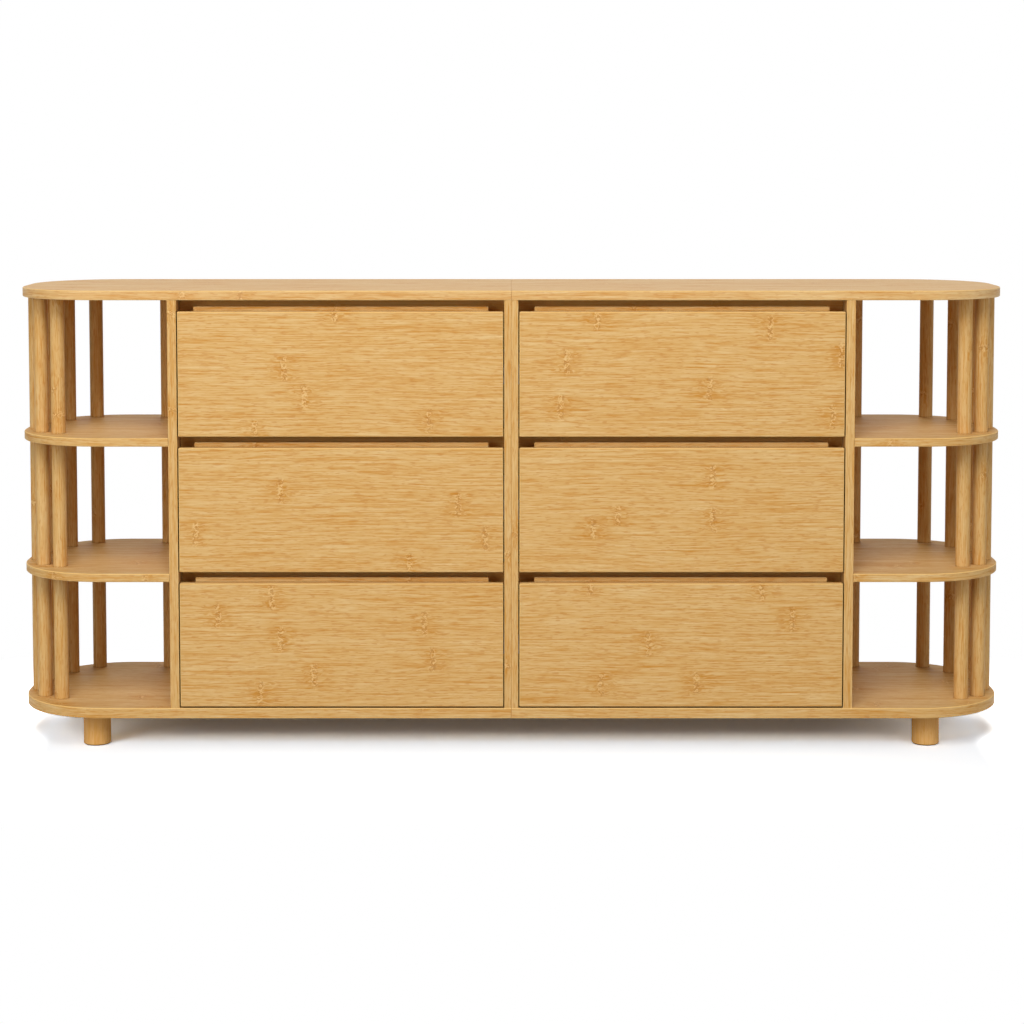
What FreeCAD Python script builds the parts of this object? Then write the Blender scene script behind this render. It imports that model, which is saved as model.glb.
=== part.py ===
import FreeCAD, Part
import math
import os

Vector = FreeCAD.Vector

# All lengths are millimetres. X runs along the sideboard, the front faces -Y, Z is up.
# The origin lies on the floor, under the middle of the sideboard.

# Whole sideboard
overall_length = 1800.0
overall_depth = 400.0
corner_radius = 160.0
foot_height = 60.0
base_thickness = 19.0
opening_height = 737.0
top_thickness = 17.0

# Edges and fits
edge_break = 1.2
seam_break = 0.5
fit_clearance = 0.15
slide_clearance = 0.3
cut_overrun = 1.0

# Carcase boards
side_thickness = 16.0
partition_thickness = 12.5
end_bay_length = 285.5
carcase_setback = 1.0
back_thickness = 8.0
back_rebate = 6.0
back_margin = 2.0

# End shelves and their posts
shelf_thickness = 15.0
post_diameter = 26.0
tenon_diameter = 12.0
tenon_length = 7.0
socket_relief = 0.5
front_post_turns = (42.0, 24.5, 0.0)
front_post_reach_shares = (0.72, 0.825, 0.875)
rear_post_turns = (4.0, 32.5, 62.0)
rear_post_reach_shares = (0.87, 0.79, 0.825)
last_post_from_side = 51.0
last_post_from_rear = 39.0

# Drawer rows and fronts
row_names = ("lower", "middle", "upper")
finger_gap = 20.7
bottom_reveal = 2.5
side_reveal = 2.0
front_thickness = 18.0
lip_height = 8.5

# Cross rails behind the finger gaps
rail_thickness = 18.0
rail_setback = 50.0
rail_drop = 12.0
rail_rise = 8.0
rail_clearance = 2.5

# Drawer boxes
inner_front_thickness = 15.0
drawer_side_thickness = 16.0
drawer_back_thickness = 15.0
box_rear_gap = 21.0
bottom_thickness = 6.0
groove_depth = 6.0
groove_lift = 9.0

# Steel runners
runner_gap = 13.0
runner_height = 35.0
runner_steel = 1.2
runner_front_gap = 3.0
runner_rear_gap = 7.0
runner_side_gap = 1.5

# Feet
foot_diameter = 50.0
foot_break = 2.5
foot_from_end = 142.0
foot_from_edge = 64.0
foot_bolt_diameter = 8.0
foot_bolt_in_foot = 26.0
foot_bolt_in_base = 12.0

# Dowels between the boards
dowel_diameter = 6.0
dowel_length = 30.0
dowel_in_face = 9.0
dowel_depth_shares = (0.16, 0.84)

# Connector bolts through the doubled partition
connector_head_diameter = 15.0
connector_head_thickness = 2.0
connector_sleeve_diameter = 8.0
connector_bolt_diameter = 5.0
connector_bolt_share = 0.8
connector_depth_shares = (0.4, 0.8)

# Levels and places that follow from the sizes above
half_length = overall_length / 2
front_edge = -overall_depth / 2
rear_edge = overall_depth / 2
base_top = foot_height + base_thickness
top_underside = base_top + opening_height
carcase_front = front_edge + carcase_setback
carcase_rear = rear_edge - back_margin
side_outer = half_length - end_bay_length
side_inner = side_outer - side_thickness
opening_width = side_inner - partition_thickness
column_centre = partition_thickness + opening_width / 2

row_pitch = (opening_height - bottom_reveal) / len(row_names)
front_height = row_pitch - finger_gap
front_width = opening_width - 2 * side_reveal
front_back = carcase_front + front_thickness

box_lift = rail_rise + rail_clearance
side_height = front_height - rail_drop - rail_clearance - box_lift
box_width = opening_width - 2 * runner_gap
inner_width = box_width - 2 * drawer_side_thickness
box_rear = carcase_rear - back_thickness - box_rear_gap
runner_start = front_back + runner_front_gap
runner_length = box_rear - runner_rear_gap - runner_start

post_radius = post_diameter / 2
tenon_radius = tenon_diameter / 2
socket_radius = tenon_radius + fit_clearance
socket_depth = tenon_length + socket_relief
corner_x = -half_length + corner_radius
front_corner_y = front_edge + corner_radius
rear_corner_y = rear_edge - corner_radius


def block(x_range, y_range, z_range):
    """A plain board between two places along each axis."""
    lengths = [b - a for a, b in (x_range, y_range, z_range)]
    corner = Vector(x_range[0], y_range[0], z_range[0])
    return Part.makeBox(*lengths, corner)


def rod(radius, length, foot, direction):
    """A round rod or drill path that starts at foot."""
    return Part.makeCylinder(radius, length, Vector(*foot), Vector(*direction))


def mirrored(shape):
    """The same piece at the other end of the sideboard."""
    return shape.mirror(Vector(0, 0, 0), Vector(1, 0, 0))


def both_ends(shapes):
    return list(shapes) + [mirrored(shape) for shape in shapes]


def row_floor(row):
    """Height of the lower edge of the drawer front in a row, counted from the bottom."""
    return base_top + bottom_reveal + row * row_pitch


def gap_middle(row):
    """Height of the middle of the finger gap above a row."""
    return row_floor(row) + front_height + finger_gap / 2


def chamfered(solid, size, wanted):
    """Break the edges of a solid whose middle passes the test."""
    edges = [edge for edge in solid.Edges if wanted(edge.CenterOfMass)]
    return solid.makeChamfer(size, edges)


# Panels with round corners at the left end
def end_panel(inner_x, floor, thickness, inner_break):
    """A panel from inner_x to the left end, with its outer and inner edges broken."""
    bend = corner_radius * math.sqrt(0.5)
    front_inner = Vector(inner_x, front_edge, floor)
    front_tangent = Vector(corner_x, front_edge, floor)
    front_bend = Vector(corner_x - bend, front_corner_y - bend, floor)
    end_front = Vector(-half_length, front_corner_y, floor)
    end_rear = Vector(-half_length, rear_corner_y, floor)
    rear_bend = Vector(corner_x - bend, rear_corner_y + bend, floor)
    rear_tangent = Vector(corner_x, rear_edge, floor)
    rear_inner = Vector(inner_x, rear_edge, floor)
    outline = [
        Part.LineSegment(front_inner, front_tangent),
        Part.Arc(front_tangent, front_bend, end_front),
        Part.LineSegment(end_front, end_rear),
        Part.Arc(end_rear, rear_bend, rear_tangent),
        Part.LineSegment(rear_tangent, rear_inner),
        Part.LineSegment(rear_inner, front_inner),
    ]
    wire = Part.Wire([curve.toShape() for curve in outline])
    panel = Part.Face(wire).extrude(Vector(0, 0, thickness))
    middle = floor + thickness / 2
    flat = thickness / 4

    def on_rim(point):
        return abs(point.z - middle) > flat and point.x < inner_x - edge_break

    def on_inner_end(point):
        return abs(point.x - inner_x) < fit_clearance

    panel = chamfered(panel, edge_break, on_rim)
    return chamfered(panel, inner_break, on_inner_end)


def post_places():
    """Plan places of the posts at the left end, from the front round to the side board."""
    places = []
    for turn, reach in zip(front_post_turns, front_post_reach_shares):
        out = corner_radius * reach
        angle = math.radians(turn)
        places.append((corner_x - out * math.cos(angle), front_corner_y - out * math.sin(angle)))
    for turn, reach in zip(rear_post_turns, rear_post_reach_shares):
        out = corner_radius * reach
        angle = math.radians(turn)
        places.append((corner_x - out * math.cos(angle), rear_corner_y + out * math.sin(angle)))
    places.append((-side_outer - last_post_from_side, rear_edge - last_post_from_rear))
    return places


def sockets(panel, floor, depth):
    """Drill the tenon sockets of every post into a panel, from floor upwards."""
    for x, y in post_places():
        panel = panel.cut(rod(socket_radius, depth, (x, y, floor), (0, 0, 1)))
    return panel


def post(x, y, floor, ceiling):
    """A turned post between two panels, with a stub tenon at each end."""
    profile = [
        (0, floor - tenon_length),
        (tenon_radius, floor - tenon_length),
        (tenon_radius, floor),
        (post_radius, floor),
        (post_radius, ceiling),
        (tenon_radius, ceiling),
        (tenon_radius, ceiling + tenon_length),
        (0, ceiling + tenon_length),
    ]
    corners = [Vector(x + radius, y, height) for radius, height in profile]
    face = Part.Face(Part.makePolygon(corners + corners[:1]))
    return face.revolve(Vector(x, y, 0), Vector(0, 0, 1), 360).Solids[0]


# Dowels: where they sit, and their holes
def board_depth_places(shares):
    return [carcase_front + (carcase_rear - carcase_front) * share for share in shares]


def upright_dowel_places():
    """Plan places of the dowels in the ends of the left side board and left partition board."""
    lines = (-side_outer + side_thickness / 2, -partition_thickness / 2)
    return [(x, y) for x in lines for y in board_depth_places(dowel_depth_shares)]


def shelf_dowel_places():
    """Depth places of the dowels between an end shelf and the side board."""
    return board_depth_places(dowel_depth_shares)


def shelf_levels():
    """Undersides of the two end shelves, level with the finger gaps beside them."""
    return [gap_middle(row) - shelf_thickness / 2 for row in range(len(row_names) - 1)]


def dowels():
    """Every dowel of the left half: upright ones in the boards, level ones in the shelves."""
    radius = dowel_diameter / 2
    pieces = []
    for x, y in upright_dowel_places():
        pieces.append(rod(radius, dowel_length, (x, y, base_top - dowel_in_face), (0, 0, 1)))
        pieces.append(rod(radius, dowel_length, (x, y, top_underside + dowel_in_face), (0, 0, -1)))
    for underside in shelf_levels():
        for y in shelf_dowel_places():
            foot = (-side_outer + dowel_in_face, y, underside + shelf_thickness / 2)
            pieces.append(rod(radius, dowel_length, foot, (-1, 0, 0)))
    return pieces


def dowel_holes(panel):
    """Drill a board for each dowel that reaches into it."""
    radius = dowel_diameter / 2 + fit_clearance
    reach = dowel_length + 2 * socket_relief
    inset = dowel_in_face + socket_relief
    for x, y in upright_dowel_places():
        panel = panel.cut(rod(radius, reach, (x, y, base_top - inset), (0, 0, 1)))
        panel = panel.cut(rod(radius, reach, (x, y, top_underside + inset), (0, 0, -1)))
    for underside in shelf_levels():
        for y in shelf_dowel_places():
            foot = (-side_outer + inset, y, underside + shelf_thickness / 2)
            panel = panel.cut(rod(radius, reach, foot, (-1, 0, 0)))
    return panel


# Connector bolts
def connector_places():
    """Depth and height of each bolt, in the free band between two drawer rows."""
    depths = board_depth_places(connector_depth_shares)
    return [(y, gap_middle(row)) for row in range(len(row_names) - 1) for y in depths]


def turned(profile, y, z):
    """A piece turned about a line along X, from (place along X, radius) corners."""
    corners = [Vector(x, y + radius, z) for x, radius in profile]
    face = Part.Face(Part.makePolygon(corners + corners[:1]))
    return face.revolve(Vector(0, y, z), Vector(1, 0, 0), 360).Solids[0]


def connector(y, z):
    """A sleeve nut from the left and a bolt from the right, head to head."""
    head = connector_head_diameter / 2
    sleeve = connector_sleeve_diameter / 2
    shank = connector_bolt_diameter / 2
    bore = shank + fit_clearance
    left_face = -partition_thickness
    right_face = partition_thickness
    left_out = left_face - connector_head_thickness
    right_out = right_face + connector_head_thickness
    bolt_end = right_face - 2 * partition_thickness * connector_bolt_share
    sleeve_end = right_face - socket_relief
    nut = turned([
        (left_out, 0),
        (left_out, head),
        (left_face, head),
        (left_face, sleeve),
        (sleeve_end, sleeve),
        (sleeve_end, bore),
        (bolt_end - socket_relief, bore),
        (bolt_end - socket_relief, 0),
    ], y, z)
    bolt = turned([
        (right_out, 0),
        (right_out, head),
        (right_face, head),
        (right_face, shank),
        (bolt_end, shank),
        (bolt_end, 0),
    ], y, z)
    return [nut, bolt]


# Feet
def foot_places():
    x = -half_length + foot_from_end
    return [(x, front_edge + foot_from_edge), (x, rear_edge - foot_from_edge)]


def foot(x, y):
    """A round foot with its lower rim broken, bored for its bolt."""
    blank = rod(foot_diameter / 2, foot_height, (x, y, 0), (0, 0, 1))
    rim = [edge for edge in blank.Edges if edge.BoundBox.ZMax < foot_break]
    return blank.makeChamfer(foot_break, rim).cut(foot_bolt_path(x, y))


def foot_bolt(x, y):
    length = foot_bolt_in_foot + foot_bolt_in_base
    return rod(foot_bolt_diameter / 2, length, (x, y, foot_height - foot_bolt_in_foot), (0, 0, 1))


def foot_bolt_path(x, y):
    """The hole that the bolt fills, in the foot and in the base."""
    radius = foot_bolt_diameter / 2 + fit_clearance
    length = foot_bolt_in_foot + foot_bolt_in_base + 2 * socket_relief
    floor = foot_height - foot_bolt_in_foot - socket_relief
    return rod(radius, length, (x, y, floor), (0, 0, 1))


# Carcase boards of the left half
def top_panel():
    panel = end_panel(0, top_underside, top_thickness, seam_break)
    panel = sockets(panel, top_underside - cut_overrun, socket_depth + cut_overrun)
    return dowel_holes(panel)


def base_panel():
    panel = end_panel(0, foot_height, base_thickness, seam_break)
    panel = sockets(panel, base_top - socket_depth, socket_depth + cut_overrun)
    for x, y in foot_places():
        panel = panel.cut(foot_bolt_path(x, y))
    return dowel_holes(panel)


def shelf(underside):
    panel = end_panel(-side_outer, underside, shelf_thickness, seam_break)
    panel = sockets(panel, underside - cut_overrun, shelf_thickness + 2 * cut_overrun)
    return dowel_holes(panel)


def upright(x_range, rebate_range, break_line):
    """A board between base and top, with a rear rebate for the back and a broken front edge."""
    board = block(x_range, (carcase_front, carcase_rear), (base_top, top_underside))

    def at_front(point):
        near_front = abs(point.y - carcase_front) < fit_clearance
        return near_front and any(abs(point.x - x) < fit_clearance for x in break_line)

    board = chamfered(board, seam_break, at_front)
    rebate_depth = (carcase_rear - back_thickness - fit_clearance, carcase_rear + cut_overrun)
    rebate = block(rebate_range, rebate_depth, (base_top - cut_overrun, top_underside + cut_overrun))
    return dowel_holes(board.cut(rebate))


def side_board():
    x_range = (-side_outer, -side_inner)
    rebate_range = (-side_inner - back_rebate, -side_inner + cut_overrun)
    return upright(x_range, rebate_range, x_range)


def partition_board():
    x_range = (-partition_thickness, 0)
    rebate_range = (-partition_thickness - cut_overrun, -partition_thickness + back_rebate)
    board = upright(x_range, rebate_range, x_range)
    for y, z in connector_places():
        path_start = (-partition_thickness - cut_overrun, y, z)
        path_length = partition_thickness + 2 * cut_overrun
        hole_radius = connector_sleeve_diameter / 2 + fit_clearance
        board = board.cut(rod(hole_radius, path_length, path_start, (1, 0, 0)))
    return board


def back_board():
    reach = back_rebate - fit_clearance
    x_range = (-side_inner - reach, -partition_thickness + reach)
    return block(x_range, (carcase_rear - back_thickness, carcase_rear), (base_top, top_underside))


def rails():
    """A cross rail behind the finger gap above each row; the last one is under the top."""
    x_range = (-side_inner, -partition_thickness)
    y_range = (front_edge + rail_setback, front_edge + rail_setback + rail_thickness)
    pieces = []
    for row in range(len(row_names)):
        front_top = row_floor(row) + front_height
        upper = min(front_top + finger_gap + rail_rise, top_underside)
        pieces.append(block(x_range, y_range, (front_top - rail_drop, upper)))
    return pieces


# Runners: each is a channel on the carcase with a narrower channel inside it on the drawer
def channel(web_x, open_x, low, high, steel, start):
    """A folded steel channel along Y: its web stands at web_x and it opens towards open_x."""
    inward = steel if open_x > web_x else -steel
    profile = [
        (web_x, low),
        (open_x, low),
        (open_x, low + steel),
        (web_x + inward, low + steel),
        (web_x + inward, high - steel),
        (open_x, high - steel),
        (open_x, high),
        (web_x, high),
    ]
    corners = [Vector(x, start, z) for x, z in profile]
    face = Part.Face(Part.makePolygon(corners + corners[:1]))
    return face.extrude(Vector(0, runner_length, 0))


def runner_level():
    """Middle of the runner above the lower edge of the drawer front."""
    return box_lift + side_height / 2


def carcase_channel(side):
    """Outer channel for the drawer placed at X 0 and Z 0, on its left (-1) or right (1)."""
    low = runner_level() - runner_height / 2
    high = runner_level() + runner_height / 2
    wall = side * opening_width / 2
    mouth = side * (box_width / 2 + runner_side_gap)
    return channel(wall, mouth, low, high, runner_steel, runner_start)


def drawer_channel(side):
    """Inner channel, which slides between the flanges of the outer one."""
    inset = runner_steel + slide_clearance
    low = runner_level() - runner_height / 2 + inset
    high = runner_level() + runner_height / 2 - inset
    wall = side * box_width / 2
    mouth = side * (opening_width / 2 - runner_steel - runner_side_gap)
    return channel(wall, mouth, low, high, runner_steel, runner_start)


# Drawer pieces, with the middle of the drawer at X 0 and the front's lower edge at Z 0
def drawer_front():
    half = front_width / 2
    board = block((-half, half), (carcase_front, front_back), (0, front_height))
    return board.makeChamfer(edge_break, board.Edges)


def bottom_groove():
    """The groove that holds the drawer bottom, cut into the boards around it."""
    half = inner_width / 2 + groove_depth
    low = box_lift + groove_lift - fit_clearance
    high = box_lift + groove_lift + bottom_thickness + fit_clearance
    groove_front = front_back + inner_front_thickness - groove_depth
    return block((-half, half), (groove_front, box_rear + cut_overrun), (low, high))


def inner_front():
    """The inner front, whose upper edge stands above the front as a finger pull."""
    half = inner_width / 2
    y_range = (front_back, front_back + inner_front_thickness)
    board = block((-half, half), y_range, (box_lift, front_height + lip_height))

    def at_lip(point):
        return point.z > front_height + lip_height - fit_clearance

    return chamfered(board, edge_break, at_lip).cut(bottom_groove())


def drawer_sides():
    pieces = []
    for side in (-1, 1):
        faces = sorted((side * inner_width / 2, side * box_width / 2))
        board = block(faces, (front_back, box_rear), (box_lift, box_lift + side_height))
        pieces.append(board.cut(bottom_groove()))
    return pieces


def drawer_back():
    half = inner_width / 2
    low = box_lift + groove_lift + bottom_thickness
    y_range = (box_rear - drawer_back_thickness, box_rear)
    return block((-half, half), y_range, (low, box_lift + side_height))


def drawer_bottom():
    half = inner_width / 2 + groove_depth - fit_clearance
    bottom_front = front_back + inner_front_thickness - groove_depth + fit_clearance
    low = box_lift + groove_lift
    return block((-half, half), (bottom_front, box_rear), (low, low + bottom_thickness))


def drawer_runners():
    return [drawer_channel(-1), drawer_channel(1)]


def moved(shapes, x, z):
    return [shape.translated(Vector(x, 0, z)) for shape in shapes]


def save(name, shapes):
    """Write one node: a single solid, or a group of separate solids."""
    solids = [solid for shape in shapes for solid in shape.Solids]
    node = solids[0] if len(solids) == 1 else Part.makeCompound(solids)
    node.exportStep(os.path.join("parts", name + ".step"))


def save_pair(name, shape):
    save(name + "_left", [shape])
    save(name + "_right", [mirrored(shape)])


os.makedirs("parts", exist_ok=True)

save_pair("top_panel", top_panel())
save_pair("base_panel", base_panel())
save_pair("side_board", side_board())
save_pair("partition_board", partition_board())
save_pair("back_board", back_board())

left_rails = rails()
save("cross_rails_left", left_rails)
save("cross_rails_right", [mirrored(rail) for rail in left_rails])

for level, underside in zip(("lower", "upper"), shelf_levels()):
    save_pair("shelf_" + level, shelf(underside))

tier_floors = [base_top] + [underside + shelf_thickness for underside in shelf_levels()]
tier_ceilings = shelf_levels() + [top_underside]
left_posts = []
for floor, ceiling in zip(tier_floors, tier_ceilings):
    left_posts += [post(x, y, floor, ceiling) for x, y in post_places()]
save("posts_left", left_posts)
save("posts_right", [mirrored(piece) for piece in left_posts])

save("feet", both_ends([foot(x, y) for x, y in foot_places()]))
save("foot_bolts", both_ends([foot_bolt(x, y) for x, y in foot_places()]))
save("board_dowels", both_ends(dowels()))
save("connector_bolts", [piece for y, z in connector_places() for piece in connector(y, z)])

drawer_pieces = {
    "front": [drawer_front()],
    "inner_front": [inner_front()],
    "sides": drawer_sides(),
    "back": [drawer_back()],
    "bottom": [drawer_bottom()],
    "runners": drawer_runners(),
}
for column, centre in (("left", -column_centre), ("right", column_centre)):
    channels = []
    for row, row_name in enumerate(row_names):
        for piece_name, shapes in drawer_pieces.items():
            name = "_".join(("drawer", row_name, column, piece_name))
            save(name, moved(shapes, centre, row_floor(row)))
        pair = [carcase_channel(-1), carcase_channel(1)]
        channels += moved(pair, centre, row_floor(row))
    save("carcase_runners_" + column, channels)
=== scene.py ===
import bpy
import math
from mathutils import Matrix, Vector


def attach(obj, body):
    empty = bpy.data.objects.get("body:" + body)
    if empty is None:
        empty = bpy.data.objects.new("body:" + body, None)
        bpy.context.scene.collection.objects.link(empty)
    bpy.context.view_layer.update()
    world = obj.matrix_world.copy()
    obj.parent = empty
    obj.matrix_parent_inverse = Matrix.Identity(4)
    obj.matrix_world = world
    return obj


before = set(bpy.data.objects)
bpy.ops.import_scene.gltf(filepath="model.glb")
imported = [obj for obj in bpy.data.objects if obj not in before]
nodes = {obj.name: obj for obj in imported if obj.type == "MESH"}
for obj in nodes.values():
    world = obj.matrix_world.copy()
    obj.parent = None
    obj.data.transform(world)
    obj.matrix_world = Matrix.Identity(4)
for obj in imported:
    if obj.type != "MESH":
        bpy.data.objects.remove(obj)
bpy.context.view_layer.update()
print("frame loaded,", len(nodes), "nodes")

noiseMiddle = 0.5
noiseRoughness = 0.55
plainWhite = (1, 1, 1, 1)


# small helpers for the shader trees
def addNode(tree, kind, values=None, **settings):
    node = tree.nodes.new(kind)
    for name, setting in settings.items():
        setattr(node, name, setting)
    for name, value in (values or {}).items():
        node.inputs[name].default_value = value
    return node


def feed(tree, socket, value):
    # a value is either another node's output or a plain number
    if isinstance(value, bpy.types.NodeSocket):
        tree.links.new(value, socket)
    else:
        socket.default_value = value


def calc(tree, operation, first, second=None, third=None):
    node = addNode(tree, "ShaderNodeMath", operation=operation)
    for socket, value in zip(node.inputs, (first, second, third)):
        if value is not None:
            feed(tree, socket, value)
    return node.outputs[0]


def vectorCalc(tree, operation, first, second):
    node = addNode(tree, "ShaderNodeVectorMath", operation=operation)
    feed(tree, node.inputs[0], first)
    feed(tree, node.inputs["Scale" if operation == "SCALE" else 1], second)
    return node.outputs[0]


def combine(tree, x, y, z):
    node = addNode(tree, "ShaderNodeCombineXYZ")
    for socket, value in zip(node.inputs, (x, y, z)):
        feed(tree, socket, value)
    return node.outputs[0]


def split(tree, vector):
    node = addNode(tree, "ShaderNodeSeparateXYZ")
    tree.links.new(vector, node.inputs[0])
    return node.outputs


def objectSpot(tree):
    return addNode(tree, "ShaderNodeTexCoord").outputs["Object"]


def fade(tree, value, start, end):
    # 1 up to start, easing to 0 at end
    node = addNode(tree, "ShaderNodeMapRange", interpolation_type="SMOOTHSTEP")
    feed(tree, node.inputs["Value"], value)
    limits = {"From Min": start, "From Max": end, "To Min": 1.0, "To Max": 0.0}
    for name, number in limits.items():
        node.inputs[name].default_value = number
    return node.outputs["Result"]


def noise(tree, place, scale, detail=1.0):
    values = {"Scale": 1.0, "Detail": detail, "Roughness": noiseRoughness}
    node = addNode(tree, "ShaderNodeTexNoise", values)
    tree.links.new(vectorCalc(tree, "MULTIPLY", place, scale), node.inputs["Vector"])
    return node.outputs["Fac"]


def swing(tree, wave, reach, base):
    # a noise moves a base value up and down by its offset from the middle
    return calc(tree, "MULTIPLY_ADD", calc(tree, "SUBTRACT", wave, noiseMiddle), reach, base)


def blendColour(tree, share, first, second):
    node = addNode(tree, "ShaderNodeMix", data_type="RGBA")
    feed(tree, node.inputs["Factor"], share)
    feed(tree, node.inputs[6], first)
    feed(tree, node.inputs[7], second)
    return node.outputs[2]


# blends a tint in by a mask: grain marks and joints, and also painted highlight and painted shade
def stainAndPaintedLight(tree, colour, mask, share, tint):
    return blendColour(tree, calc(tree, "MULTIPLY", mask, share), colour, tint)


def seenByEye(tree):
    # rays from the camera, also by way of a reflection or through a clear piece
    rays = addNode(tree, "ShaderNodeLightPath").outputs
    seen = calc(tree, "MAXIMUM", rays["Is Camera Ray"], rays["Is Glossy Ray"])
    return calc(tree, "MAXIMUM", seen, rays["Is Transmission Ray"])


def newMaterial(name):
    material = bpy.data.materials.new(name)
    material.use_nodes = True
    tree = material.node_tree
    tree.nodes.clear()
    shader = addNode(tree, "ShaderNodeBsdfPrincipled")
    output = addNode(tree, "ShaderNodeOutputMaterial")
    tree.links.new(shader.outputs[0], output.inputs["Surface"])
    return material, tree, shader


def addBump(tree, shader, height, strength, depth):
    bump = addNode(tree, "ShaderNodeBump", {"Strength": strength, "Distance": depth})
    tree.links.new(height, bump.inputs["Height"])
    tree.links.new(bump.outputs[0], shader.inputs["Normal"])


# laminated bamboo, clear satin lacquer; lengths in metres
bamboo = {
    "dark": (0.575, 0.268, 0.050, 1.0),
    "middle": (0.668, 0.412, 0.154, 1.0),
    "light": (0.735, 0.520, 0.248, 1.0),
    "dash": (0.520, 0.205, 0.032, 1.0), "dashShare": 0.42,
    "ridge": (0.840, 0.600, 0.280, 1.0), "ridgeShare": 0.55,
    "groove": (0.420, 0.175, 0.040, 1.0), "grooveShare": 0.55,
    # painted light: an amber blend that stands in for warm light on the rails in the finger gaps
    # and on the feet
    "paintedAmber": (0.880, 0.420, 0.090, 1.0),
    # painted highlight: a lighter colour on the slanted faces of the broken edges
    "edgeHighlight": (0.860, 0.575, 0.215, 1.0), "edgeHighlightShare": 0.8,
    # painted shade: a dark brown blended in where ambient occlusion finds the wood closed in, in
    # gaps and inside corners
    "paintedShade": (0.110, 0.040, 0.010, 1.0), "paintedShadeShare": 0.75,
    "paintedShadeReach": 0.006, "paintedShadeLevels": (0.15, 0.75), "paintedShadeSamples": 4,
    "seamCore": 0.0004, "seamHalf": 0.0008, "seamShare": 0.45,
    "fibreScale": (8.0, 430.0, 430.0), "fibreShare": 1.25,
    "flickScale": (32.0, 430.0, 430.0), "flickShare": 0.95,
    "bandScale": (5.0, 70.0, 70.0), "bandDetail": 2.0,
    "dashScale": (60.0, 540.0, 540.0), "dashLevels": (0.55, 0.66),
    "waveScale": (2.6, 7.0, 7.0), "waveReach": 0.014,
    "stirScale": (45.0, 90.0, 90.0), "stirReach": 0.012,
    "knuckleSpacing": 0.25, "knuckleBand": 0.078,
    "knuckleScatter": 0.9, "knuckleMiss": 0.12,
    "knuckleHalf": 0.027, "fullHeight": 0.6,
    "knuckleWidth": 0.0075, "fullWidth": 0.4,
    "patchReach": 0.045, "patchDashes": 0.045, "patchShade": -0.20,
    "curlScale": (130.0, 150.0, 150.0), "curlLine": (0.015, 0.065),
    "paleLevel": 0.43, "deepLevel": 0.57,
    "wanderScale": (20.0, 45.0, 45.0), "wanderReach": 0.012,
    "rightHalfShift": (0.457, 0.311, 0.173), "bandShift": 0.083,
    "edgeFacing": 0.5, "panelEase": (0.2, 0.95), "boardEase": 0.9,
    "roughness": 0.52, "satinSwing": -0.12,
    "fibreRise": 0.6, "dashRise": -0.6, "bumpStrength": 0.25, "bumpDepth": 0.0002,
}
grainTurns = {
    "x": (0.0, 0.0, 0.0),
    "y": (0.0, 0.0, -math.pi / 2),
    "z": (0.0, math.pi / 2, 0.0),
}
panelPlan = {"cornerX": 0.74, "cornerY": 0.04, "radius": 0.16}


def edgeBandPlace(tree, spot):
    # the edge band runs round the ends of a panel, so its grain follows the outline
    x, y, z = spot
    cornerX, cornerY = panelPlan["cornerX"], panelPlan["cornerY"]
    reachX = calc(tree, "ABSOLUTE", x)
    straight = calc(tree, "MINIMUM", reachX, cornerX)
    pastX = calc(tree, "MAXIMUM", calc(tree, "SUBTRACT", reachX, cornerX), 0.0)
    pastY = calc(tree, "SUBTRACT", calc(tree, "ABSOLUTE", y), cornerY)
    turn = calc(tree, "ARCTAN2", pastX, calc(tree, "MAXIMUM", pastY, 0.0))
    along = calc(tree, "MULTIPLY_ADD", turn, panelPlan["radius"], straight)
    endY = calc(tree, "MAXIMUM", calc(tree, "MINIMUM", y, cornerY), -cornerY)
    return combine(tree, calc(tree, "ADD", along, endY), z, bamboo["bandShift"])


def grainPlace(tree, grain, banded):
    coords = objectSpot(tree)
    spot = split(tree, coords)
    turned = addNode(tree, "ShaderNodeMapping", {"Rotation": grainTurns[grain]})
    tree.links.new(coords, turned.inputs["Vector"])
    place = turned.outputs[0]
    if banded:
        facing = split(tree, addNode(tree, "ShaderNodeNewGeometry").outputs["Normal"])
        upright = calc(tree, "ABSOLUTE", facing[2])
        band = addNode(tree, "ShaderNodeMix", data_type="VECTOR")
        onEdge = calc(tree, "LESS_THAN", upright, bamboo["edgeFacing"])
        feed(tree, band.inputs["Factor"], onEdge)
        tree.links.new(place, band.inputs[4])
        tree.links.new(edgeBandPlace(tree, spot), band.inputs[5])
        place = band.outputs[1]
    rightHalf = calc(tree, "GREATER_THAN", spot[0], 0.0)
    shift = vectorCalc(tree, "SCALE", bamboo["rightHalfShift"], rightHalf)
    return vectorCalc(tree, "ADD", place, shift)


def levelLine(tree, curl, level):
    off = calc(tree, "ABSOLUTE", calc(tree, "SUBTRACT", curl, level))
    return fade(tree, off, *bamboo["curlLine"])


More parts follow.
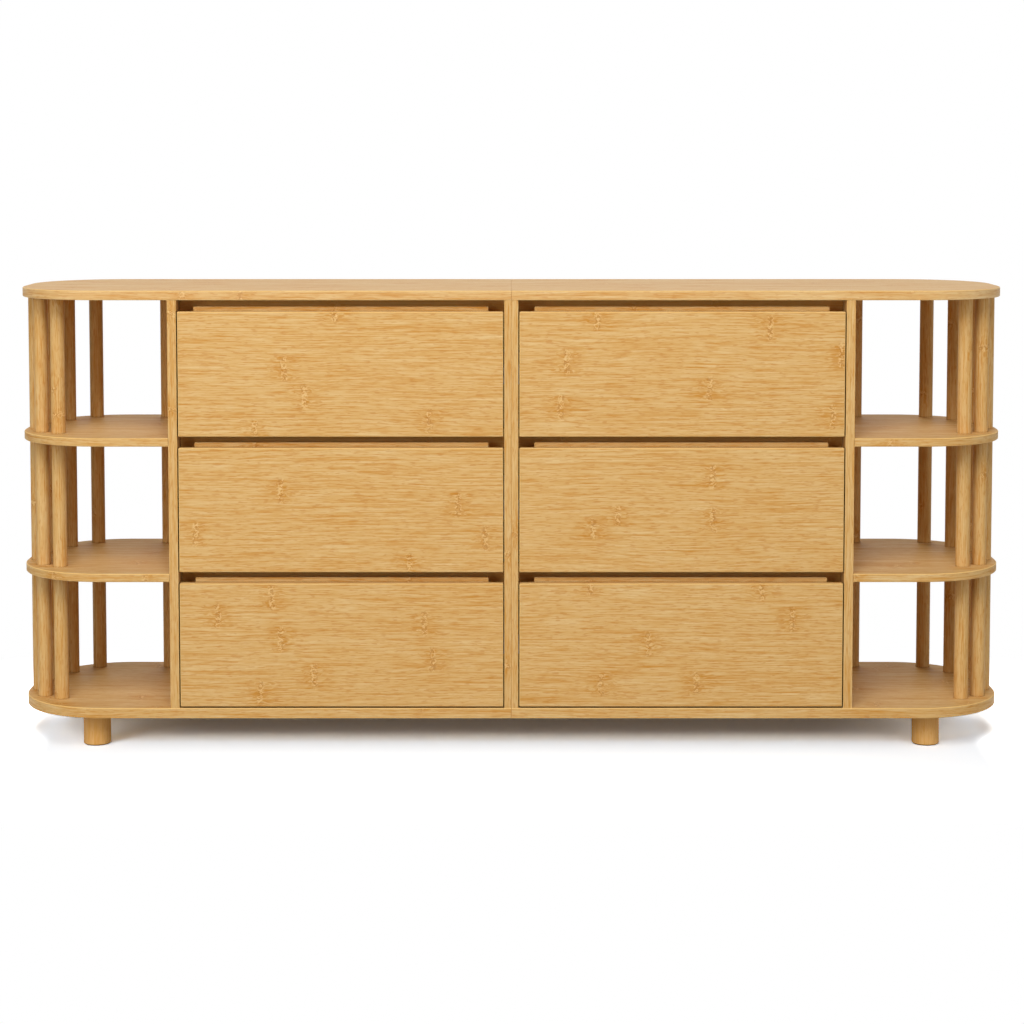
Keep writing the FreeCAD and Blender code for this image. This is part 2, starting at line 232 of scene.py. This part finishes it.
def knuckles(tree, place):
    # the joints of the bamboo stem: a column of small curls in a stained patch
    spacing, band = bamboo["knuckleSpacing"], bamboo["knuckleBand"]
    half, width = bamboo["knuckleHalf"], bamboo["knuckleWidth"]
    along, acrossY, acrossZ = split(tree, place)
    cellAlong = calc(tree, "DIVIDE", along, spacing)
    cellAcross = calc(tree, "DIVIDE", calc(tree, "ADD", acrossY, acrossZ), band)
    cells = addNode(tree, "ShaderNodeTexVoronoi",
                    {"Scale": 1.0, "Randomness": bamboo["knuckleScatter"]},
                    voronoi_dimensions="2D")
    tree.links.new(combine(tree, cellAlong, cellAcross, 0.0), cells.inputs["Vector"])
    middle = split(tree, cells.outputs["Position"])
    tint = addNode(tree, "ShaderNodeSeparateColor")
    tree.links.new(cells.outputs["Color"], tint.inputs[0])
    present = calc(tree, "GREATER_THAN", tint.outputs[0], bamboo["knuckleMiss"])
    offAlong = calc(tree, "MULTIPLY", calc(tree, "SUBTRACT", cellAlong, middle[0]), spacing)
    wander = noise(tree, place, bamboo["wanderScale"])
    offAlong = calc(tree, "ABSOLUTE", swing(tree, wander, bamboo["wanderReach"], offAlong))
    offAcross = calc(tree, "MULTIPLY", calc(tree, "SUBTRACT", cellAcross, middle[1]), band)
    offAcross = calc(tree, "ABSOLUTE", offAcross)
    inHeight = fade(tree, offAcross, bamboo["fullHeight"] * half, half)
    inHeight = calc(tree, "MULTIPLY", inHeight, present)
    inWidth = fade(tree, offAlong, bamboo["fullWidth"] * width, width)
    marked = calc(tree, "MULTIPLY", inWidth, inHeight)
    # curls are level lines of a small noise, a pale one with a dark one beside it
    curl = noise(tree, place, bamboo["curlScale"])
    ridge = calc(tree, "MULTIPLY", levelLine(tree, curl, bamboo["paleLevel"]), marked)
    groove = calc(tree, "MULTIPLY", levelLine(tree, curl, bamboo["deepLevel"]), marked)
    patch = fade(tree, offAlong, 0.0, bamboo["patchReach"])
    return ridge, groove, calc(tree, "MULTIPLY", patch, inHeight)


def highlightedEdges(tree, kind):
    # painted highlight: the slanted faces of a board's broken edges are found here and painted
    # lighter; a panel's round ends don't count
    facing = split(tree, addNode(tree, "ShaderNodeNewGeometry").outputs["True Normal"])
    tilts = [calc(tree, "ABSOLUTE", part) for part in facing]
    if kind == "panel":
        flattest, steepest = bamboo["panelEase"]
        return calc(tree, "MULTIPLY", calc(tree, "GREATER_THAN", tilts[2], flattest),
                    calc(tree, "LESS_THAN", tilts[2], steepest))
    largest = calc(tree, "MAXIMUM", calc(tree, "MAXIMUM", tilts[0], tilts[1]), tilts[2])
    return calc(tree, "LESS_THAN", largest, bamboo["boardEase"])


def seamLine(tree):
    # the butt joint between the two halves
    off = calc(tree, "ABSOLUTE", split(tree, objectSpot(tree))[0])
    return fade(tree, off, bamboo["seamCore"], bamboo["seamHalf"])


def bambooMaterial(name, grain, banded=False, tone=0.0, gloss=0.10, streaks=0.5, paintedWarmth=0.0,
                   highlighted=None, seamed=False):
    material, tree, shader = newMaterial(name)
    place = grainPlace(tree, grain, banded)
    ridge, groove, patch = knuckles(tree, place)
    # fibres sway on their way, and more so in the stained patches
    wave = noise(tree, place, bamboo["waveScale"])
    sway = swing(tree, wave, bamboo["waveReach"], 0.0)
    stir = noise(tree, place, bamboo["stirScale"])
    stir = swing(tree, stir, bamboo["stirReach"], 0.0)
    sway = calc(tree, "MULTIPLY_ADD", stir, patch, sway)
    fibrePlace = vectorCalc(tree, "ADD", place, combine(tree, 0.0, sway, sway))
    fibre = noise(tree, fibrePlace, bamboo["fibreScale"])
    flick = noise(tree, fibrePlace, bamboo["flickScale"])
    band = noise(tree, fibrePlace, bamboo["bandScale"], bamboo["bandDetail"])
    dash = noise(tree, fibrePlace, bamboo["dashScale"])
    dash = calc(tree, "MULTIPLY_ADD", patch, bamboo["patchDashes"], dash)
    dash = calc(tree, "SUBTRACT", 1.0, fade(tree, dash, *bamboo["dashLevels"]))
    mixed = swing(tree, fibre, bamboo["fibreShare"], noiseMiddle + tone)
    mixed = swing(tree, flick, bamboo["flickShare"], mixed)
    mixed = swing(tree, band, streaks, mixed)
    mixed = calc(tree, "MULTIPLY_ADD", patch, bamboo["patchShade"], mixed)
    ramp = addNode(tree, "ShaderNodeValToRGB")
    stops = ramp.color_ramp.elements
    stops[0].position, stops[0].color = 0.0, bamboo["dark"]
    stops[1].position, stops[1].color = 1.0, bamboo["light"]
    stops.new(noiseMiddle).color = bamboo["middle"]
    tree.links.new(mixed, ramp.inputs[0])
    colour = ramp.outputs[0]
    for mask, tint in ((dash, "dash"), (groove, "groove"), (ridge, "ridge")):
        colour = stainAndPaintedLight(tree, colour, mask, bamboo[tint + "Share"], bamboo[tint])
    # painted light: amber blended in to stand in for warm light the piece doesn't get
    if paintedWarmth:
        colour = blendColour(tree, paintedWarmth, colour, bamboo["paintedAmber"])
    # painted highlight along the broken edges
    if highlighted:
        edges = highlightedEdges(tree, highlighted)
        colour = stainAndPaintedLight(tree, colour, edges, bamboo["edgeHighlightShare"], bamboo["edgeHighlight"])
    if seamed:
        colour = stainAndPaintedLight(tree, colour, seamLine(tree), bamboo["seamShare"], bamboo["groove"])
    # painted shade: deep in the gaps, where little light reaches, the colour is blended to dark
    # brown and the sheen is turned down
    openness = addNode(tree, "ShaderNodeAmbientOcclusion", {"Distance": bamboo["paintedShadeReach"]},
                       samples=bamboo["paintedShadeSamples"])
    depth = fade(tree, openness.outputs["AO"], *bamboo["paintedShadeLevels"])
    colour = stainAndPaintedLight(tree, colour, depth, bamboo["paintedShadeShare"], bamboo["paintedShade"])
    tree.links.new(colour, shader.inputs["Base Color"])
    sheen = calc(tree, "MULTIPLY_ADD", depth, -gloss, gloss)
    tree.links.new(sheen, shader.inputs["Specular IOR Level"])
    satin = swing(tree, fibre, bamboo["satinSwing"], bamboo["roughness"])
    tree.links.new(satin, shader.inputs["Roughness"])
    height = calc(tree, "MULTIPLY", fibre, bamboo["fibreRise"])
    height = calc(tree, "MULTIPLY_ADD", dash, bamboo["dashRise"], height)
    height = calc(tree, "ADD", height, calc(tree, "SUBTRACT", ridge, groove))
    addBump(tree, shader, height, bamboo["bumpStrength"], bamboo["bumpDepth"])
    return material


# zinc plated steel of runners, bolts and screws
zinc = {
    "colour": (0.46, 0.47, 0.48, 1.0), "spangle": (0.33, 0.34, 0.36, 1.0),
    "drawnScale": (900.0, 14.0, 900.0), "drawnDetail": 3.0, "drawnShare": 0.5,
    "cloudScale": (55.0, 55.0, 55.0), "cloudDetail": 2.0, "cloudShare": 0.5,
    "roughness": 0.38, "roughSwing": 0.3, "bumpStrength": 0.15, "bumpDepth": 0.0002,
}


def zincMaterial(name):
    material, tree, shader = newMaterial(name)
    coords = objectSpot(tree)
    drawn = noise(tree, coords, zinc["drawnScale"], zinc["drawnDetail"])
    cloud = noise(tree, coords, zinc["cloudScale"], zinc["cloudDetail"])
    share = calc(tree, "MULTIPLY", cloud, zinc["cloudShare"])
    share = calc(tree, "MULTIPLY_ADD", drawn, zinc["drawnShare"], share)
    colour = blendColour(tree, share, zinc["colour"], zinc["spangle"])
    tree.links.new(colour, shader.inputs["Base Color"])
    shader.inputs["Metallic"].default_value = 1.0
    rough = swing(tree, cloud, zinc["roughSwing"], zinc["roughness"])
    tree.links.new(rough, shader.inputs["Roughness"])
    addBump(tree, shader, drawn, zinc["bumpStrength"], zinc["bumpDepth"])
    return material


finishes = {
    "topBamboo": bambooMaterial("topBamboo", "x", banded=True, gloss=0.50, streaks=1.1,
                                highlighted="panel", seamed=True),
    "panelBamboo": bambooMaterial("panelBamboo", "x", banded=True, streaks=1.1,
                                  highlighted="panel", seamed=True),
    "frontBamboo": bambooMaterial("frontBamboo", "x", highlighted="board"),
    "lengthBamboo": bambooMaterial("lengthBamboo", "x"),
    "depthBamboo": bambooMaterial("depthBamboo", "y"),
    "boardBamboo": bambooMaterial("boardBamboo", "z", highlighted="board", seamed=True),
    "uprightBamboo": bambooMaterial("uprightBamboo", "z"),
    # painted light: the feet are made lighter and warmer to stand in for light they lack under the
    # base
    "footBamboo": bambooMaterial("footBamboo", "z", tone=0.20, paintedWarmth=0.5),
    "innerBamboo": bambooMaterial("innerBamboo", "x", gloss=0.02),
    # painted light: the rails behind the finger gaps are made warmer to stand in for warm bounced
    # light there
    "railBamboo": bambooMaterial("railBamboo", "x", gloss=0.0, paintedWarmth=0.55),
    "thinPly": bambooMaterial("thinPly", "x", tone=0.10),
    "zincSteel": zincMaterial("zincSteel"),
}
# which finish each CAD node wears, by the first of these words in its name
finishWords = (
    ("top_panel", "topBamboo"), ("panel", "panelBamboo"), ("shelf", "panelBamboo"),
    ("rails", "railBamboo"), ("inner_front", "innerBamboo"), ("front", "frontBamboo"),
    ("back_board", "thinPly"), ("bottom", "thinPly"),
    ("runners", "zincSteel"), ("bolts", "zincSteel"),
    ("sides", "depthBamboo"),
    ("side_board", "boardBamboo"), ("partition", "boardBamboo"),
    ("posts", "uprightBamboo"), ("feet", "footBamboo"),
)
for nodeName, piece in nodes.items():
    finish = next((found for word, found in finishWords if word in nodeName), "lengthBamboo")
    for slot in piece.material_slots:
        slot.material = finishes[finish]
print("finishes set on", len(nodes), "nodes")


# fasteners that the CAD leaves out: one head of each kind is modelled, then copied
def pickAlone(piece):
    bpy.ops.object.select_all(action="DESELECT")
    piece.select_set(True)
    bpy.context.view_layer.objects.active = piece


def domedHead(name, shape):
    # a round head seated on Z 0, with its upper rim rolled over
    depth = shape["rise"] + shape["seat"]
    bpy.ops.object.select_all(action="DESELECT")
    bpy.ops.mesh.primitive_cylinder_add(vertices=shape["sides"], radius=shape["radius"],
                                        depth=depth, location=(0, 0, shape["rise"] - depth / 2))
    head = bpy.context.active_object
    head.name = name
    bpy.ops.object.transform_apply(location=True, rotation=True, scale=True)
    rimHeight = shape["rise"] - shape["seat"]
    for edge in head.data.edges:
        edge.select = all(head.data.vertices[end].co.z > rimHeight for end in edge.vertices)
    for face in head.data.polygons:
        face.select = face.center.z > rimHeight
    bpy.ops.object.mode_set(mode="EDIT")
    bpy.ops.mesh.select_mode(type="EDGE")
    bpy.ops.mesh.bevel(offset=shape["rim"], segments=shape["rimSteps"], affect="EDGES")
    bpy.ops.object.mode_set(mode="OBJECT")
    return head


def cutCross(head, shape):
    # the cross recess is two narrow bars taken out of the head
    length, width = shape["barLength"], shape["barWidth"]
    for sizeX, sizeY in ((length, width), (width, length)):
        bpy.ops.object.select_all(action="DESELECT")
        bpy.ops.mesh.primitive_cube_add(size=1, location=(0, 0, shape["rise"]))
        bar = bpy.context.active_object
        bar.scale = (sizeX, sizeY, 2 * shape["barDepth"])
        bpy.ops.object.transform_apply(location=True, rotation=True, scale=True)
        pickAlone(head)
        recess = head.modifiers.new("recess", "BOOLEAN")
        recess.operation = "DIFFERENCE"
        recess.object = bar
        bpy.ops.object.modifier_apply(modifier=recess.name)
        bpy.data.objects.remove(bar)


def copiesOf(head, name, places, body):
    # each place is a spot and the turn that points the head outwards
    copies = []
    for spot, turn in places:
        pickAlone(head)
        bpy.ops.object.duplicate()
        copy = bpy.context.active_object
        copy.location = spot
        copy.rotation_euler = turn
        bpy.ops.object.transform_apply(location=True, rotation=True, scale=True)
        copies.append(copy)
    pickAlone(copies[0])
    for copy in copies:
        copy.select_set(True)
    bpy.ops.object.join()
    copies[0].name = name
    bpy.ops.object.transform_apply(location=True, rotation=True, scale=True)
    bpy.ops.object.shade_smooth_by_angle(angle=smoothAngle)
    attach(copies[0], body)


smoothAngle = math.radians(40.0)
headTurns = {
    "left": (0.0, -math.pi / 2, 0.0),
    "right": (0.0, math.pi / 2, 0.0),
    "back": (-math.pi / 2, 0.0, 0.0),
}

# pins along the upright edges of the back boards
backPin = {
    "radius": 0.0017, "rise": 0.0008, "seat": 0.0001,
    "rim": 0.0006, "rimSteps": 2, "sides": 12,
    "lines": (-0.6015, -0.0095, 0.0095, 0.6015), "rear": 0.198,
    "lowest": 0.104, "spacing": 0.1374, "perLine": 6,
}
pinHead = domedHead("pinHead", backPin)
pinHead.data.materials.append(finishes["zincSteel"])
pinLevels = [backPin["lowest"] + step * backPin["spacing"] for step in range(backPin["perLine"])]
pinPlaces = [((x, backPin["rear"], level), headTurns["back"])
             for x in backPin["lines"] for level in pinLevels]
copiesOf(pinHead, "backPins", pinPlaces, "carcase")
bpy.data.objects.remove(pinHead)

# pan-head screws: three in the web of every runner, four that hold each drawer's front from inside
panScrew = {
    "radius": 0.0036, "rise": 0.0023, "seat": 0.0001,
    "rim": 0.0011, "rimSteps": 2, "sides": 16,
    "barLength": 0.0042, "barWidth": 0.0010, "barDepth": 0.0012,
    "columns": {"left": -0.3055, "right": 0.3055},
    "levels": {"lower": 0.19157, "middle": 0.43640, "upper": 0.68123},
    "depths": (-0.143, -0.008, 0.127), "carcaseWeb": 0.2918, "drawerWeb": 0.2812,
    "innerFrontRear": -0.166, "frontReach": 0.19, "frontRise": 0.052,
}
screwHead = domedHead("screwHead", panScrew)
cutCross(screwHead, panScrew)
screwHead.data.materials.append(finishes["zincSteel"])
carcasePlaces = []
screwCount = 0
for column, centre in panScrew["columns"].items():
    for row, level in panScrew["levels"].items():
        drawerPlaces = []
        for depth in panScrew["depths"]:
            for side, other, sign in (("left", "right", -1), ("right", "left", 1)):
                carcaseSpot = (centre + sign * panScrew["carcaseWeb"], depth, level)
                drawerSpot = (centre + sign * panScrew["drawerWeb"], depth, level)
                carcasePlaces.append((carcaseSpot, headTurns[other]))
                drawerPlaces.append((drawerSpot, headTurns[side]))
        for reach in (-panScrew["frontReach"], panScrew["frontReach"]):
            for rise in (-panScrew["frontRise"], panScrew["frontRise"]):
                spot = (centre + reach, panScrew["innerFrontRear"], level + rise)
                drawerPlaces.append((spot, headTurns["back"]))
        pieceName = "screws" + row.capitalize() + column.capitalize()
        copiesOf(screwHead, pieceName, drawerPlaces, "drawer_%s_%s" % (row, column))
        screwCount += len(drawerPlaces)
copiesOf(screwHead, "screwsCarcase", carcasePlaces, "carcase")
screwCount += len(carcasePlaces)
bpy.data.objects.remove(screwHead)
print("fasteners placed:", len(pinPlaces), "pins and", screwCount, "screws")

# floor: a plain grey for bounced light; for the eye it is exposed up to white, by how far a spot
# lies under the base. The shadows on it are real, but this exposure by place paints their shape:
# kept darker deep under the base, lifted near its rim and beside it, so they look softer and
# greyer than the lamps cast them; it is all white further out
floorPlan = {
    "half": 14.0, "bounce": (0.45, 0.45, 0.445, 1.0),
    "seenDeep": (1.62, 1.75, 1.98, 1.0), "seenRim": (3.40, 4.00, 4.80, 1.0),
    "seenFront": (1.30, 1.39, 1.50, 1.0), "seenBeside": (3.00, 3.10, 3.22, 1.0),
    "deepTo": -0.165, "rimFrom": -0.105, "rimTo": -0.04, "outFrom": 0.0,
    "deepWithin": 0.55, "endsFrom": 0.80,
    "frontTo": 0.03, "underFrom": 0.105, "frontWithin": 0.84, "besideFrom": 0.90,
    "shadedTo": 0.12, "whiteFrom": 0.50,
}


def floorFade(value, start, end):
    return fade(floorTree, value, floorPlan[start], floorPlan[end])


def floorCalc(operation, first, second=None):
    return calc(floorTree, operation, first, second)


bpy.ops.object.select_all(action="DESELECT")
bpy.ops.mesh.primitive_plane_add(size=2 * floorPlan["half"], location=(0, 0, 0))
floor = bpy.context.active_object
floor.name = "studioFloor"
floorPaint = bpy.data.materials.new("floorPaint")
floorPaint.use_nodes = True
floorTree = floorPaint.node_tree
floorTree.nodes.clear()
floorShade = addNode(floorTree, "ShaderNodeBsdfDiffuse")
floorOut = addNode(floorTree, "ShaderNodeOutputMaterial")
seen = seenByEye(floorTree)
floorSpot = split(floorTree, objectSpot(floorTree))
# how far a spot lies outside the outline of the base
reachEnd = floorCalc("ABSOLUTE", floorSpot[0])
reachSide = floorCalc("ABSOLUTE", floorSpot[1])
pastEnd = floorCalc("MAXIMUM", floorCalc("SUBTRACT", reachEnd, panelPlan["cornerX"]), 0.0)
pastSide = floorCalc("MAXIMUM", floorCalc("SUBTRACT", reachSide, panelPlan["cornerY"]), 0.0)
endSquare = floorCalc("POWER", pastEnd, 2.0)
sideSquare = floorCalc("POWER", pastSide, 2.0)
outside = floorCalc("SQRT", floorCalc("ADD", endSquare, sideSquare))
outside = floorCalc("SUBTRACT", outside, panelPlan["radius"])
# how far it lies behind the front edge of the base, which rounds off at the ends
roundOff = floorCalc("SUBTRACT", panelPlan["radius"] ** 2, endSquare)
roundOff = floorCalc("SQRT", floorCalc("MAXIMUM", roundOff, 0.0))
inward = floorCalc("ADD", floorCalc("ADD", roundOff, panelPlan["cornerY"]), floorSpot[1])
deep = floorCalc("MULTIPLY", floorFade(outside, "deepTo", "rimFrom"),
                 floorFade(reachEnd, "deepWithin", "endsFrom"))
rim = floorFade(outside, "rimTo", "outFrom")
inFront = floorCalc("MULTIPLY", floorFade(inward, "frontTo", "underFrom"),
                    floorFade(reachEnd, "frontWithin", "besideFrom"))
# painted shade and light: the eye's exposure blends from deep under the base to its rim, beside it
# and in front
seenColour = blendColour(floorTree, deep, floorPlan["seenRim"], floorPlan["seenDeep"])
seenColour = blendColour(floorTree, rim, floorPlan["seenBeside"], seenColour)
seenColour = blendColour(floorTree, inFront, seenColour, floorPlan["seenFront"])
floorColour = blendColour(floorTree, seen, floorPlan["bounce"], seenColour)
floorTree.links.new(floorColour, floorShade.inputs["Color"])
whiteShare = floorCalc("SUBTRACT", 1.0, floorFade(outside, "shadedTo", "whiteFrom"))
whiteGlow = addNode(floorTree, "ShaderNodeEmission", {"Color": plainWhite, "Strength": 1.0})
floorMix = addNode(floorTree, "ShaderNodeMixShader")
feed(floorTree, floorMix.inputs[0], floorCalc("MULTIPLY", whiteShare, seen))
floorTree.links.new(floorShade.outputs[0], floorMix.inputs[1])
floorTree.links.new(whiteGlow.outputs[0], floorMix.inputs[2])
floorTree.links.new(floorMix.outputs[0], floorOut.inputs["Surface"])
floor.data.materials.append(floorPaint)
print("floor laid")

# white room: full white to the eye and in gloss, a low fill for everything else
roomFill = {"Color": (1.0, 0.985, 0.965, 1.0), "Strength": 0.15}
room = bpy.data.worlds.new("whiteRoom")
bpy.context.scene.world = room
room.use_nodes = True
roomTree = room.node_tree
roomTree.nodes.clear()
roomOut = addNode(roomTree, "ShaderNodeOutputWorld")
fillGlow = addNode(roomTree, "ShaderNodeBackground", roomFill)
eyeGlow = addNode(roomTree, "ShaderNodeBackground", {"Color": plainWhite, "Strength": 1.0})
roomMix = addNode(roomTree, "ShaderNodeMixShader")
feed(roomTree, roomMix.inputs[0], seenByEye(roomTree))
roomTree.links.new(fillGlow.outputs[0], roomMix.inputs[1])
roomTree.links.new(eyeGlow.outputs[0], roomMix.inputs[2])
roomTree.links.new(roomMix.outputs[0], roomOut.inputs["Surface"])

# soft boxes: the main one high in front, low ones to the left, right and end, one behind
softBoxes = {
    "frontLamp": {"turn": -4.0, "rise": 44.0, "power": 171.0},
    "leftLamp": {"turn": -40.0, "rise": 15.0, "power": 67.0},
    "rightLamp": {"turn": 38.0, "rise": 12.0, "power": 24.0},
    "endLamp": {"turn": 80.0, "rise": 10.0, "power": 20.0},
    "rearLamp": {"turn": 180.0, "rise": 35.0, "power": 65.0},
}
lampSide = 2.5
lampReach = 5.0
lampColour = (1.0, 0.985, 0.96)
lampAim = Vector((0.0, 0.0, 0.42))
for lampName, box in softBoxes.items():
    lamp = bpy.data.lights.new(lampName, "AREA")
    lamp.shape = "SQUARE"
    lamp.size = lampSide
    lamp.energy = box["power"]
    lamp.color = lampColour
    holder = bpy.data.objects.new(lampName, lamp)
    bpy.context.collection.objects.link(holder)
    # the lamp behind would glare on the top
    holder.visible_glossy = lampName != "rearLamp"
    turn, rise = math.radians(box["turn"]), math.radians(box["rise"])
    ray = Vector((math.sin(turn) * math.cos(rise), -math.cos(turn) * math.cos(rise),
                  math.sin(rise)))
    holder.location = lampAim + lampReach * ray
    holder.rotation_euler = ray.to_track_quat("Z", "Y").to_euler()
print("stage lit by", len(softBoxes), "soft boxes")

# camera: a long lens, looking slightly down; the rest of the drop is lens shift
eye = {
    "spot": (0.0012, -4.5047, 1.0797), "pitch": 4.042, "focalPixels": 2419.9,
    "framePixels": 1024.0, "sensor": 36.0, "shiftY": -0.1846,
}
lens = bpy.data.cameras.new("photoCamera")
lens.sensor_width = eye["sensor"]
lens.lens = eye["sensor"] * eye["focalPixels"] / eye["framePixels"]
lens.shift_y = eye["shiftY"]
camera = bpy.data.objects.new("photoCamera", lens)
bpy.context.collection.objects.link(camera)
camera.location = eye["spot"]
camera.rotation_euler = (math.radians(90.0 - eye["pitch"]), 0.0, 0.0)
bpy.context.scene.camera = camera
bpy.context.scene.view_settings.view_transform = "Standard"
print("camera set")
